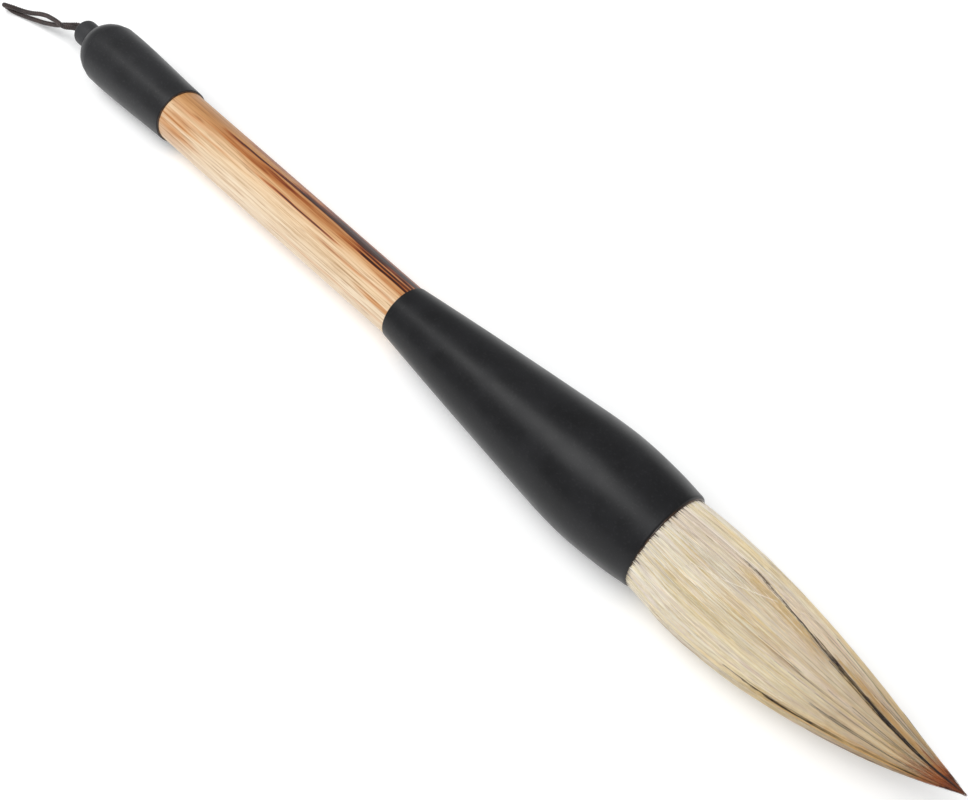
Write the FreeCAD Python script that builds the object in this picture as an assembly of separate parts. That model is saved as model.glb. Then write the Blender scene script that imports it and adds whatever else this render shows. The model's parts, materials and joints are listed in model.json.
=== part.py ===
"""Large hopper calligraphy brush, lying at rest on a flat surface.

A bamboo shaft is glued into a domed end cap at the tail and pegged to a trumpet-shaped hair socket at the
front. The socket's cup holds a tuft of three concentric hair layers, set in resin and bound with thread.
A thin cord, knotted inside the end cap, comes out through a small knob and makes the hanging loop.

Every turned piece is drawn in the brush's own frame: its axis is X, x = 0 is the knob's outer face and x
grows towards the tuft's point. The last step lays the brush on the surface z = 0, resting on the socket's
belly and the cap's shoulder, with the origin under the middle of the box around it. Only the loop of the
cord is drawn where it lies, because it is the one piece that isn't turned about the brush's axis.
Millimetres.
"""

import FreeCAD
import Part
import math
import os

from FreeCAD import Vector

os.makedirs("parts", exist_ok=True)

# ---- Driving dimensions --------------------------------------------------------------------------------
KNOB_LENGTH = 7.5
KNOB_R = 4.4
CAP_LENGTH = 47.5
DOME_HEIGHT = 8.5
CAP_SHOULDER_R = 10.45
CAP_RIM_R = 9.35
SHAFT_SHOWN = 108.0
SHAFT_TAIL_R = 8.75
SHAFT_FRONT_R = 8.3
SHAFT_BORE_R = 4.6
SOCKET_LENGTH = 100.0
SOCKET_NECK_R = 8.6
SOCKET_BELLY_R = 16.5
SOCKET_MOUTH_R = 14.6
TUFT_SHOWN = 87.0
CORD_D = 1.3

# ---- Stations along the axis ---------------------------------------------------------------------------
DOME_X = KNOB_LENGTH
SHOULDER_X = DOME_X + DOME_HEIGHT
CAP_WIDEST_X = SHOULDER_X + 4
CAP_WIDEST_R = CAP_SHOULDER_R + 0.05
RIM_X = DOME_X + CAP_LENGTH
NECK_X = RIM_X + SHAFT_SHOWN
BELLY_X = NECK_X + 0.78 * SOCKET_LENGTH
MOUTH_X = NECK_X + SOCKET_LENGTH
TIP_X = MOUTH_X + TUFT_SHOWN

# ---- Fits, glue lines and rounded edges ----------------------------------------------------------------
GLUE_GAP = 0.05
CAP_RIM_ROUND = 0.25
KNOB_TOP_ROUND = 1.1
KNOB_SEAT_ROUND = 0.3
PEG_POINT = 0.8
SOCKET_LIP = 0.9

# ---- Inside the end cap --------------------------------------------------------------------------------
CAP_GRIP = 34.0
SHAFT_TAIL_X = RIM_X - CAP_GRIP
KNOT_ROOM_LENGTH = 8.0
KNOT_ROOM_R = 4.6
KNOB_TENON_R = 2.8
KNOB_TENON_LENGTH = 5.5
CORD_BORE_R = 1.6

# ---- Cord knot and tails -------------------------------------------------------------------------------
TAIL_SPREAD = CORD_D / 2 + 0.06
TAIL_STUB = 1.0
LOOP_HINGE = 1.9
KNOT_X = DOME_X + KNOB_TENON_LENGTH + 1.0
KNOT_LENGTH = 5.2
KNOT_HEART_R = 1.6
KNOT_WRAP_R = 1.8
KNOT_WRAP_THICKNESS = 0.65
KNOT_WRAP_STEP = 1.15
KNOT_WRAP_LEANS = (14, -10, 12)

# ---- Shaft's peg, socket's cup and hair root -----------------------------------------------------------
PEG_HALF_LENGTH = 22.0
PEG_PILOT = 0.5
CUP_DEPTH = 38.0
CUP_FLOOR_X = MOUTH_X - CUP_DEPTH
CUP_MOUTH_R = 13.9
CUP_FLOOR_R = 12.6
RESIN_THICKNESS = 5.0
RESIN_SHRINK = 0.1
HAIR_ROOT_X = CUP_FLOOR_X + RESIN_THICKNESS
HAIR_ROOT_R = CUP_FLOOR_R - 0.3
WAIST_R = 11.5
THREAD_D = 0.9
THREAD_PITCH = THREAD_D + 0.08
THREAD_TURNS = 6
THREAD_X = HAIR_ROOT_X + 3.0
WAIST_FROM_X = THREAD_X - 0.6
WAIST_TO_X = THREAD_X + THREAD_PITCH * THREAD_TURNS + 1.2
LAYER_GAP = 0.05

# ---- The tuft's bend: its front two thirds turn about this point on the axis ---------------------------
BEND_X = MOUTH_X + 27.0
BEND_SEAM_X = MOUTH_X + 20.0
BEND_SEAM_R = 14.4
BEND_BALL_R = math.hypot(BEND_X - BEND_SEAM_X, BEND_SEAM_R)
BEND_GAP = 0.4

# ---- The loop's route ----------------------------------------------------------------------------------
# In the frame of the brush laid down. One strand leaves the knob and passes under the other, the two part
# round a narrow eye as they sink to the surface, and lie one on the other out to the fold, where the strand
# turns back. The first half of the list runs out to the fold and the second half back to the knob.
LOOP_ROUTE = [
    (-177.7, 0.71, 9.95),
    (-179.5, 0.5, 9.65),
    (-181.3, -0.75, 9.2),
    (-183.1, -1.65, 8.55),
    (-184.95, -2.25, 7.75),
    (-186.65, -2.85, 6.9),
    (-188.5, -3.5, 6.0),
    (-191.0, -3.95, 5.0),
    (-193.3, -4.45, 4.15),
    (-195.6, -4.95, 3.35),
    (-198.2, -5.4, 2.65),
    (-200.9, -5.9, 2.05),
    (-203.65, -6.5, 1.5),
    (-206.4, -7.1, 1.1),
    (-209.0, -7.75, 0.85),
    (-211.3, -8.35, 0.7),
    (-212.7, -8.67, 0.7),
    (-213.35, -9.18, 1.33),
    (-213.26, -9.67, 2.24),
    (-212.48, -9.84, 2.9),
    (-211.1, -9.35, 3.05),
    (-209.8, -8.5, 2.7),
    (-208.3, -7.65, 2.5),
    (-206.05, -6.8, 2.75),
    (-203.7, -5.95, 3.2),
    (-201.5, -4.95, 3.75),
    (-199.3, -4.1, 4.35),
    (-197.05, -3.5, 5.05),
    (-194.65, -3.15, 5.85),
    (-192.1, -2.95, 6.7),
    (-189.5, -2.9, 7.55),
    (-186.9, -3.15, 8.4),
    (-184.5, -3.5, 8.95),
    (-182.4, -3.45, 9.25),
    (-180.6, -2.8, 9.45),
    (-179.1, -1.65, 9.75),
    (-177.7, -0.71, 9.95),
]


# ---- Turning -------------------------------------------------------------------------------------------
def stretch(points):
    """One stretch of an outline: 2 points make a line, 3 an arc, more a smooth curve."""
    at = [Vector(x, 0, r) for x, r in points]
    if len(at) == 2:
        return Part.LineSegment(*at).toShape()
    if len(at) == 3:
        return Part.Arc(*at).toShape()
    curve = Part.BSplineCurve()
    curve.interpolate(at)
    return curve.toShape()


def turned(*stretches):
    """The solid that a closed outline of (x, radius) stretches sweeps about the axis.

    A straight line joins each stretch to the next where they don't meet, and the last to the first."""
    edges = []
    for here, after in zip(stretches, stretches[1:] + stretches[:1]):
        edges.append(stretch(here))
        if math.dist(here[-1], after[0]) > 1e-6:
            edges.append(stretch([here[-1], after[0]]))
    face = Part.Face(Part.Wire(edges))
    return face.revolve(Vector(0, 0, 0), Vector(1, 0, 0), 360)


def rod(x_from, x_to, radius):
    return Part.makeCylinder(radius, x_to - x_from, Vector(x_from, 0, 0), Vector(1, 0, 0))


# ---- Tail: end cap and knob ----------------------------------------------------------------------------
def end_cap():
    shell = turned(
        [(DOME_X, 0), (DOME_X, KNOB_R + 0.2)],
        [(DOME_X, KNOB_R + 0.2), (DOME_X + 2.6, 8.0), (SHOULDER_X, CAP_SHOULDER_R)],
        [
            (SHOULDER_X, CAP_SHOULDER_R),
            (SHOULDER_X + 8, CAP_SHOULDER_R + 0.02),
            (SHOULDER_X + 22, CAP_SHOULDER_R - 0.45),
            (RIM_X - CAP_RIM_ROUND, CAP_RIM_R),
        ],
        [(RIM_X, CAP_RIM_R - CAP_RIM_ROUND), (RIM_X, 0)],
    )
    shaft_bore = rod(SHAFT_TAIL_X, RIM_X + 1, SHAFT_TAIL_R + GLUE_GAP)
    knot_room = rod(SHAFT_TAIL_X - KNOT_ROOM_LENGTH, SHAFT_TAIL_X + 1, KNOT_ROOM_R)
    knob_hole = rod(DOME_X - 1, SHAFT_TAIL_X, KNOB_TENON_R + GLUE_GAP)
    return shell.cut(shaft_bore.fuse([knot_room, knob_hole]))


def cap_knob():
    arc_rise = KNOB_TOP_ROUND * (1 - math.sqrt(0.5))
    knob = turned(
        [(0, 0), (0, KNOB_R - KNOB_TOP_ROUND)],
        [(0, KNOB_R - KNOB_TOP_ROUND), (arc_rise, KNOB_R - arc_rise), (KNOB_TOP_ROUND, KNOB_R)],
        [(KNOB_TOP_ROUND, KNOB_R), (DOME_X - KNOB_SEAT_ROUND, KNOB_R)],
        [(DOME_X, KNOB_R - KNOB_SEAT_ROUND), (DOME_X, KNOB_TENON_R)],
        [(DOME_X + KNOB_TENON_LENGTH, KNOB_TENON_R), (DOME_X + KNOB_TENON_LENGTH, 0)],
    )
    return knob.cut(rod(-1, SHAFT_TAIL_X, CORD_BORE_R))


# ---- Cord: tails, knot and hanging loop ----------------------------------------------------------------
def cord_tails():
    """The cord's two ends, side by side from the knot through the knob's bore to just outside it."""
    tails = []
    for side in (1, -1):
        tail = rod(-TAIL_STUB, KNOT_X, CORD_D / 2)
        tail.translate(Vector(0, side * TAIL_SPREAD, 0))
        tails.append(tail)
    return Part.makeCompound(tails)


def loop_knot():
    """The overhand knot in the two strands: tight wraps, each leaning its own way, round a packed heart."""
    wraps = []
    for turn, lean in enumerate(KNOT_WRAP_LEANS):
        wrap = Part.makeTorus(KNOT_WRAP_R, KNOT_WRAP_THICKNESS)
        upright = FreeCAD.Rotation(Vector(0, 1, 0), 90 + lean)
        wrap.Placement = FreeCAD.Placement(Vector(KNOT_X + KNOT_WRAP_STEP * (turn + 1), 0, 0), upright)
        wraps.append(wrap)
    return rod(KNOT_X, KNOT_X + KNOT_LENGTH, KNOT_HEART_R).fuse(wraps)


def hanging_loop():
    """The cord's tube: straight runs joined by tangent arcs, each arc as large as its two runs allow."""
    points = [Vector(*p) for p in LOOP_ROUTE]
    edges = []
    radii = []
    start = points[0]
    for before, corner, after in zip(points, points[1:], points[2:]):
        inward = (before - corner).normalize()
        outward = (after - corner).normalize()
        half_turn = (math.pi - inward.getAngle(outward)) / 2
        setback = 0.45 * min((before - corner).Length, (after - corner).Length)
        radius = setback / math.tan(half_turn)
        first = corner + inward * setback
        last = corner + outward * setback
        middle = corner + (inward + outward).normalize() * (radius / math.cos(half_turn) - radius)
        edges.append(Part.LineSegment(start, first).toShape())
        edges.append(Part.Arc(first, middle, last).toShape())
        radii.append(radius)
        start = last
    edges.append(Part.LineSegment(start, points[-1]).toShape())
    path = Part.Wire(edges)
    mouth = Part.Circle(points[0], points[1] - points[0], CORD_D / 2).toShape()
    tube = path.makePipeShell([Part.Wire(mouth)], True, False)
    section = math.pi * CORD_D**2 / 4
    print("loop: length %.2f, radii %s" % (path.Length, " ".join("%.1f" % r for r in radii)))
    print("loop: volume over section times length %.4f" % (tube.Volume / (section * path.Length)))
    return tube


# ---- Shaft and its peg ---------------------------------------------------------------------------------
def bamboo_shaft():
    """A bamboo tube: straight where the cap grips it, then tapering to the socket."""
    return turned(
        [(SHAFT_TAIL_X, SHAFT_BORE_R), (SHAFT_TAIL_X, SHAFT_TAIL_R)],
        [(SHAFT_TAIL_X, SHAFT_TAIL_R), (RIM_X, SHAFT_TAIL_R)],
        [(NECK_X, SHAFT_FRONT_R), (NECK_X, SHAFT_BORE_R)],
    )


def joining_peg():
    body_r = SHAFT_BORE_R - GLUE_GAP
    tail_x = NECK_X - PEG_HALF_LENGTH
    front_x = NECK_X + PEG_HALF_LENGTH
    return turned(
        [(tail_x, 0), (tail_x, body_r - PEG_POINT)],
        [(tail_x + PEG_POINT, body_r), (front_x - PEG_POINT, body_r)],
        [(front_x, body_r - PEG_POINT), (front_x, 0)],
    )


# ---- Hair socket ---------------------------------------------------------------------------------------
def hair_socket():
    body = turned(
        [(NECK_X, 0), (NECK_X, SOCKET_NECK_R)],
        [
            (NECK_X, SOCKET_NECK_R),
            (NECK_X + 0.2 * SOCKET_LENGTH, 10.95),
            (NECK_X + 0.4 * SOCKET_LENGTH, 13.15),
            (NECK_X + 0.6 * SOCKET_LENGTH, 15.2),
            (BELLY_X, SOCKET_BELLY_R),
            (NECK_X + 0.88 * SOCKET_LENGTH, 16.1),
            (NECK_X + 0.95 * SOCKET_LENGTH, 15.45),
            (MOUTH_X - SOCKET_LIP, SOCKET_MOUTH_R + 0.25),
        ],
        [
            (MOUTH_X - SOCKET_LIP, SOCKET_MOUTH_R + 0.25),
            (MOUTH_X - 0.25, SOCKET_MOUTH_R - 0.1),
            (MOUTH_X, CUP_MOUTH_R + 0.15),
        ],
        [(MOUTH_X, CUP_MOUTH_R), (CUP_FLOOR_X, CUP_FLOOR_R)],
        [(CUP_FLOOR_X, CUP_FLOOR_R), (CUP_FLOOR_X, 0)],
    )
    return body.cut(rod(NECK_X - 1, NECK_X + PEG_HALF_LENGTH + PEG_PILOT, SHAFT_BORE_R))


def root_resin():
    """The plug of set resin that glues the hair roots to the cup's floor."""
    radius = CUP_FLOOR_R - RESIN_SHRINK
    return rod(CUP_FLOOR_X, HAIR_ROOT_X, radius)


def binding_thread():
    """The thread wound round the waist of the hair root, each turn drawn as a closed ring."""
    winding_r = WAIST_R + THREAD_D / 2 + LAYER_GAP
    rings = []
    for turn in range(THREAD_TURNS):
        centre = Vector(THREAD_X + THREAD_PITCH * (turn + 0.5), 0, 0)
        rings.append(Part.makeTorus(winding_r, THREAD_D / 2, centre, Vector(1, 0, 0)))
    return Part.makeCompound(rings)


# ---- Tuft: three hair layers, each in a root and a point part ------------------------------------------
# Each layer's outside, as (x, radius) points from its root to its end.
MANTLE_OUTLINE = [
    (WAIST_TO_X, WAIST_R),
    (MOUTH_X - 12, 13.05),
    (MOUTH_X, CUP_MOUTH_R - 0.15),
    (MOUTH_X + 10, 14.3),
    (BEND_SEAM_X, BEND_SEAM_R),
    (MOUTH_X + 35, 12.9),
    (MOUTH_X + 50, 10.2),
    (MOUTH_X + 63, 7.1),
    (MOUTH_X + 74, 3.9),
    (TIP_X - 4, 1.5),
]
BELLY_OUTLINE = [
    (HAIR_ROOT_X, 8.6),
    (MOUTH_X, 9.4),
    (BEND_SEAM_X, 9.6),
    (MOUTH_X + 40, 8.2),
    (MOUTH_X + 60, 5.2),
    (TIP_X - 9, 1.9),
]
CORE_OUTLINE = [
    (HAIR_ROOT_X, 4.4),
    (MOUTH_X, 4.7),
    (BEND_SEAM_X, 4.8),
    (MOUTH_X + 50, 3.9),
    (MOUTH_X + 72, 2.0),
    (TIP_X, 0.3),
]


def filled_mantle():
    """Everything inside the mantle's outside, with the waist that the thread is wound on."""
    return turned(
        [(HAIR_ROOT_X, 0), (HAIR_ROOT_X, HAIR_ROOT_R)],
        [(WAIST_FROM_X, WAIST_R), (WAIST_TO_X, WAIST_R)],
        MANTLE_OUTLINE,
        [MANTLE_OUTLINE[-1], (MANTLE_OUTLINE[-1][0], 0)],
    )


def filled_inner(outline, ease):
    """Everything inside an inner layer's outside, made larger all round by ease."""
    eased = [(x, r + ease) for x, r in outline]
    return turned(
        [(HAIR_ROOT_X - ease, 0), (HAIR_ROOT_X - ease, eased[0][1])],
        eased,
        [eased[-1], (eased[-1][0], 0)],
    )


def hair_layers():
    """The layers as solids that nest without touching: mantle round belly hair round core hair."""
    core_room = filled_inner(CORE_OUTLINE, LAYER_GAP)
    belly_room = filled_inner(BELLY_OUTLINE, LAYER_GAP)
    return {
        "mantle": filled_mantle().cut(belly_room.fuse(core_room)),
        "belly": filled_inner(BELLY_OUTLINE, 0).cut(core_room),
        "core": filled_inner(CORE_OUTLINE, 0),
    }


def half_space(x_from, x_to):
    width = 10 * SOCKET_BELLY_R
    return Part.makeBox(x_to - x_from, width, width, Vector(x_from, -width / 2, -width / 2))


def parted_at_bend(layer):
    """A layer's root part, with a hollow end, and its point part, with a domed end that turns in it."""
    centre = Vector(BEND_X, 0, 0)
    hollow = Part.makeSphere(BEND_BALL_R, centre)
    dome = Part.makeSphere(BEND_BALL_R - BEND_GAP, centre)
    root = layer.cut(hollow.fuse(half_space(BEND_X, TIP_X + 1)))
    point = layer.cut(half_space(0, BEND_X).cut(dome))
    return root, point


# ---- Setting the brush down ----------------------------------------------------------------------------
# The socket's belly and the cap's widest place both touch the surface, so the axis falls towards the tail.
REST_TILT = math.degrees(math.asin((SOCKET_BELLY_R - CAP_WIDEST_R) / (BELLY_X - CAP_WIDEST_X)))
TILTED = FreeCAD.Placement(Vector(0, 0, 0), FreeCAD.Rotation(Vector(0, 1, 0), -REST_TILT))


def laid_down(shape, onto):
    moved = shape.copy()
    moved.Placement = onto.multiply(shape.Placement)
    return moved


# ---- Build ---------------------------------------------------------------------------------------------
brush = {
    "end_cap": end_cap(),
    "cap_knob": cap_knob(),
    "bamboo_shaft": bamboo_shaft(),
    "joining_peg": joining_peg(),
    "hair_socket": hair_socket(),
    "root_resin": root_resin(),
    "binding_thread": binding_thread(),
}
for name, layer in hair_layers().items():
    root, point = parted_at_bend(layer)
    brush[name + "_hair_root"] = root
    brush[name + "_hair_point"] = point

tilted = Part.makeCompound([laid_down(piece, TILTED) for piece in brush.values()])
box = tilted.optimalBoundingBox(False, False)
origin = Vector((box.XMin + box.XMax) / 2, (box.YMin + box.YMax) / 2, box.ZMin)
LAID = FreeCAD.Placement(-origin, FreeCAD.Rotation()).multiply(TILTED)

brush["cord_tails"] = cord_tails()
brush["loop_knot"] = loop_knot()
laid = {name: laid_down(piece, LAID) for name, piece in brush.items()}
laid["hanging_loop"] = hanging_loop()

for name, piece in laid.items():
    piece.exportStep("parts/%s.step" % name)
    print("%-18s solids %d valid %s volume %.1f" % (name, len(piece.Solids), piece.isValid(), piece.Volume))

print("rest tilt %.4f degrees" % REST_TILT)
for label, x in (("knob face", 0), ("loop hinge", -LOOP_HINGE), ("tuft bend", BEND_X), ("tip", TIP_X)):
    at = LAID.multVec(Vector(x, 0, 0))
    print("%-10s (%.4f, %.4f, %.4f)" % (label, at.x, at.y, at.z))
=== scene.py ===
# %% [markdown]
# # A large hopper calligraphy brush
# The brush lies on a pale table: a bamboo shaft between a black domed cap with a hanging cord and a black
# trumpet socket that holds a long tuft of goat hair. The design already has every part in its true place.
# Blender keeps those places and gives each visible part its surface, its wear and its hair.
#
# The first lines load that model as a frame.

# %% load the frame
import json
import math

import bmesh
import bpy
import numpy as np
from mathutils import Matrix, Vector, noise

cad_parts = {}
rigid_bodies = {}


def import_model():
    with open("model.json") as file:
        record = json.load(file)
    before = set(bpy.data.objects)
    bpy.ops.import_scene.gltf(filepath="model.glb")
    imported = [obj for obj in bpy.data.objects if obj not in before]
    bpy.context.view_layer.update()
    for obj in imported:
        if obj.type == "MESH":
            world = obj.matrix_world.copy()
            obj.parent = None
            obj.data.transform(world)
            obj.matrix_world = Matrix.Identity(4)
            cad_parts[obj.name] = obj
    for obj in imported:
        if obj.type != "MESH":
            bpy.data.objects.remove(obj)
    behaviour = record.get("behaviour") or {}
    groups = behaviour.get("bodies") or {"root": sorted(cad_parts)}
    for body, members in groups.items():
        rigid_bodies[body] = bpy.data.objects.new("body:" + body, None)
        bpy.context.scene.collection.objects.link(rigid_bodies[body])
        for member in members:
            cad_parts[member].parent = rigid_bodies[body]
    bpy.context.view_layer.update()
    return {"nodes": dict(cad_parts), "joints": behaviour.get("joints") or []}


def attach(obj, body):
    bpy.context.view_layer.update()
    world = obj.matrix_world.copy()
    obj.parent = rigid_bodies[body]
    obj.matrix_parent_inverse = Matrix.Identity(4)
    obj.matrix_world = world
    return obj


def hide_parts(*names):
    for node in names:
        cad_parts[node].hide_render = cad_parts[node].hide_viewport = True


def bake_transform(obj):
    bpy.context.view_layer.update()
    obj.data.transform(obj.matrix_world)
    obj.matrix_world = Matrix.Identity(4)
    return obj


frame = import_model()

MM = 0.001
print("CAD nodes:", len(frame["nodes"]))

# %% [markdown]
# ## The brush's own axis
# The brush leans a little, because its thick socket and thin cap both touch the table. Everything turned on a
# lathe is easier to draw on a level axis and then to lay down. The swivel joint of the cord gives that axis: it
# runs through the middle of the knob's face. So `LAY` is the one matrix that lays a piece in its place.

# %% axis and placing matrix
joints = {joint["name"]: joint for joint in frame["joints"]}
KNOB_FACE = Vector(joints["loop_swivel"]["pos_m"])
AXIS = Vector(joints["loop_swivel"]["axis"]).normalized()
TILT = math.asin(AXIS.z)
LAY = Matrix.Translation(KNOB_FACE) @ Matrix.Rotation(-TILT, 4, "Y")
print("the axis rises %.2f degrees towards the tuft" % math.degrees(TILT))


# %% [markdown]
# ## Stations along the axis
# A station is a distance from the knob's face, in metres. They are measured on the CAD nodes, so that a new
# length in the design moves the looks with it. `on_axis` turns a node's vertices into stations and radii.

# %% measure the CAD nodes
def on_axis(node):
    """Each vertex of a node as a row of (station, radius)."""
    places = np.array([v.co for v in frame["nodes"][node].data.vertices]) - np.array(KNOB_FACE)
    stations = places @ np.array(AXIS)
    radii = np.linalg.norm(places - np.outer(stations, np.array(AXIS)), axis=1)
    return np.stack([stations, radii], axis=1)


CAP_TOP, CAP_RIM = on_axis("end_cap")[:, 0].min(), on_axis("end_cap")[:, 0].max()
NECK, MOUTH = on_axis("hair_socket")[:, 0].min(), on_axis("hair_socket")[:, 0].max()
TIP = on_axis("core_hair_point")[:, 0].max()
print("cap %.1f to %.1f, socket %.1f to %.1f, tip %.1f mm" % tuple(
    round(x / MM, 1) for x in (CAP_TOP, CAP_RIM, NECK, MOUTH, TIP)))

# %% [markdown]
# ## Camera
# The camera looks down on the brush from behind its left side, near enough for strong perspective: the tuft is
# much closer than the cord. A 50 mm lens on a 36 mm sensor does that. The view is given by its azimuth and
# elevation round a point on the table, and turned into a place and a direction.

# %% camera
AIM = Vector((23.3, -2.4, 12.0)) * MM
AZIMUTH, ELEVATION, DISTANCE = 47.16, 57.4, 0.3689


def in_scene(name, data):
    """A new object for a mesh, lamp or camera, in the scene."""
    made = bpy.data.objects.new(name, data)
    bpy.context.scene.collection.objects.link(made)
    return made


def towards(azimuth, elevation):
    """The unit direction from the brush towards a place seen at these angles, in degrees."""
    turn, rise = math.radians(azimuth), math.radians(elevation)
    return Vector((math.sin(turn) * math.cos(rise), -math.cos(turn) * math.cos(rise), math.sin(rise)))


backwards = towards(AZIMUTH, ELEVATION)
lens = bpy.data.cameras.new("lens")
lens.lens, lens.sensor_width = 50.2, 36.0
lens.clip_start, lens.clip_end = 0.01, 20.0
camera = in_scene("camera", lens)
camera.location = AIM + backwards * DISTANCE
camera.rotation_mode = "QUATERNION"
camera.rotation_quaternion = (-backwards).to_track_quat("-Z", "Y")
bpy.context.scene.camera = camera
print("camera at", [round(x, 3) for x in camera.location])

# %% [markdown]
# ## Table and light
# The floor is plain and pale and the light is soft. A round piece shows a lamp as a stripe where the light is
# mirrored along the axis, so the key lamp stands on the cord's side, opposite the camera: its stripe then runs
# down the middle. A broad second lamp near the camera fills in, and an even pale world lights the undersides.

# %% helpers for shader nodes
def srgb(red, green, blue):
    """A colour given from 0 to 255 as a screen shows it, as the linear colour that a shader wants."""
    part = [c / 255 for c in (red, green, blue)]
    return [c / 12.92 if c <= 0.04045 else ((c + 0.055) / 1.055) ** 2.4 for c in part] + [1.0]


def node(tree, kind, inputs=None, **options):
    """A new shader node. An input is a number, a colour or another node's output."""
    made = tree.nodes.new("ShaderNode" + kind)
    for key, value in options.items():
        setattr(made, key, value)
    for key, value in (inputs or {}).items():
        if isinstance(value, bpy.types.NodeSocket):
            tree.links.new(value, made.inputs[key])
        else:
            made.inputs[key].default_value = value
    return made


def finish_with(name, **sockets):
    """A material whose Principled shader has these constant sockets, with its node tree and shader."""
    material = bpy.data.materials.new(name)
    material.use_nodes = True
    shader = material.node_tree.nodes["Principled BSDF"]
    for key, value in sockets.items():
        shader.inputs[key.replace("_", " ")].default_value = value
    return material, material.node_tree, shader


# %% floor
def floor_sheet():
    bm = bmesh.new()
    bmesh.ops.create_grid(bm, x_segments=1, y_segments=1, size=3.0)
    mesh = bpy.data.meshes.new("floor")
    bm.to_mesh(mesh)
    bm.free()
    floor = in_scene("floor", mesh)
    material, tree, shader = finish_with("pale_table", Roughness=0.9, Specular_IOR_Level=0.1, Emission_Strength=0.14,
                                         Emission_Color=(1.0, 1.0, 1.0, 1.0))
    places = node(tree, "TexCoord").outputs["Object"]
    grain = node(tree, "TexNoise", {"Vector": places, "Scale": 60.0, "Detail": 3.0})
    tint = node(tree, "Mix", {0: grain.outputs["Fac"], 6: srgb(249, 249, 248), 7: srgb(252, 252, 252)},
                data_type="RGBA")
    tree.links.new(tint.outputs[2], shader.inputs["Base Color"])
    mesh.materials.append(material)
    return floor


print("floor:", floor_sheet().name)


# %% lamps and world
def lamp(name, azimuth, elevation, distance, size, watts):
    """A square area lamp that shines at the middle of the brush from a direction given in degrees."""
    out = towards(azimuth, elevation)
    light = bpy.data.lights.new(name, "AREA")
    light.size, light.energy = size, watts
    placed = in_scene(name, light)
    placed.location = out * distance
    placed.rotation_euler = (-out).to_track_quat("-Z", "Y").to_euler()
    print("%s: %d W" % (name, watts))


lamp("key_softbox", azimuth=-58, elevation=62, distance=1.6, size=0.95, watts=12)
lamp("fill_softbox", azimuth=50, elevation=60, distance=1.6, size=1.3, watts=11)
world = bpy.data.worlds.new("studio")
world.use_nodes = True
sky = world.node_tree.nodes["Background"].inputs
sky["Color"].default_value = (0.96, 0.98, 1.0, 1.0)
sky["Strength"].default_value = 0.38
bpy.context.scene.world = world
bpy.context.scene.view_settings.view_transform = "Standard"

# %% [markdown]
# ## Hanging cord
# A thin waxed cord is knotted inside the cap and comes out of the knob as a loop. It is limp: its two strands
# cross once close to the knob, part round a narrow eye, sink to the table and lie beside each other out to a
# tight fold. The route is a list of points given one by one, because nothing about a dropped cord is regular. A
# NURBS spline turns them into one smooth line, and three yarns are then twisted round that line.

# %% route of the cord
CORD_ROUTE = [
    (-161.6, 0.71, 10.37), (-168.0, 0.71, 10.2), (-174.2, 0.71, 10.03), (-177.7, 0.71, 9.95),
    (-179.5, 0.5, 9.65), (-181.3, -0.75, 9.2), (-183.1, -1.65, 8.55), (-184.95, -2.25, 7.75),
    (-186.65, -2.85, 6.9), (-188.5, -3.5, 6.0), (-191.0, -3.95, 5.0), (-193.3, -4.45, 4.15),
    (-195.6, -4.95, 3.35), (-198.2, -5.4, 2.65), (-200.77, -5.98, 2.05), (-203.49, -6.6, 1.5),
    (-206.09, -7.28, 1.15), (-208.61, -7.97, 0.95), (-210.78, -8.59, 0.9), (-212.7, -8.67, 0.9),
    (-213.42, -9.18, 1.45), (-213.45, -9.67, 2.4), (-212.6, -9.84, 3.2), (-211.1, -9.3, 3.35),
    (-209.77, -8.43, 3.1), (-208.21, -7.59, 2.8), (-206.01, -6.79, 2.9), (-203.56, -6.0, 3.3),
    (-201.27, -5.09, 3.8), (-199.3, -4.1, 4.35), (-197.05, -3.5, 5.05), (-194.65, -3.15, 5.85),
    (-191.7, -3.18, 6.8), (-188.89, -3.24, 7.75), (-186.27, -3.48, 8.65), (-184.02, -3.67, 9.2),
    (-182.4, -3.45, 9.25), (-181.1, -2.75, 9.45), (-179.4, -1.65, 9.72), (-177.2, -0.71, 9.96),
    (-174.2, -0.71, 10.03), (-168.0, -0.71, 10.2), (-161.6, -0.71, 10.37),
]


def curve_points(route, resolution):
    """The smooth line through a route's NURBS spline, as an array of places in metres."""
    curve = bpy.data.curves.new("route", "CURVE")
    curve.dimensions = "3D"
    curve.resolution_u = resolution
    spline = curve.splines.new("NURBS")
    spline.points.add(len(route) - 1)
    for point, place in zip(spline.points, route):
        point.co = (*[c * MM for c in place], 1.0)
    spline.order_u = 3
    spline.use_endpoint_u = True
    carrier = bpy.data.objects.new("route", curve)
    line = bpy.data.meshes.new_from_object(carrier)
    places = np.array([v.co for v in line.vertices])
    for made, kept_in in ((carrier, bpy.data.objects), (line, bpy.data.meshes), (curve, bpy.data.curves)):
        kept_in.remove(made)
    return places


cord_line = curve_points(CORD_ROUTE, resolution=16)
cord_length = np.linalg.norm(np.diff(cord_line, axis=0), axis=1).sum()
print("cord: %.1f mm along %d points" % (cord_length / MM, len(cord_line)))

# %% [markdown]
# A yarn is a helix round the cord's line. At each point of the line two directions square to it are carried
# along without spinning, and the yarn stands off by a fixed distance in a direction that turns steadily. Three
# yarns a third of a turn apart lie in each other's grooves. A curve with a bevel gives each its round section.

# %% twist three yarns
YARN_R = 0.44 * MM
YARN_OFFSET = 0.39 * MM
YARN_PITCH = 2.6 * MM


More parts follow.
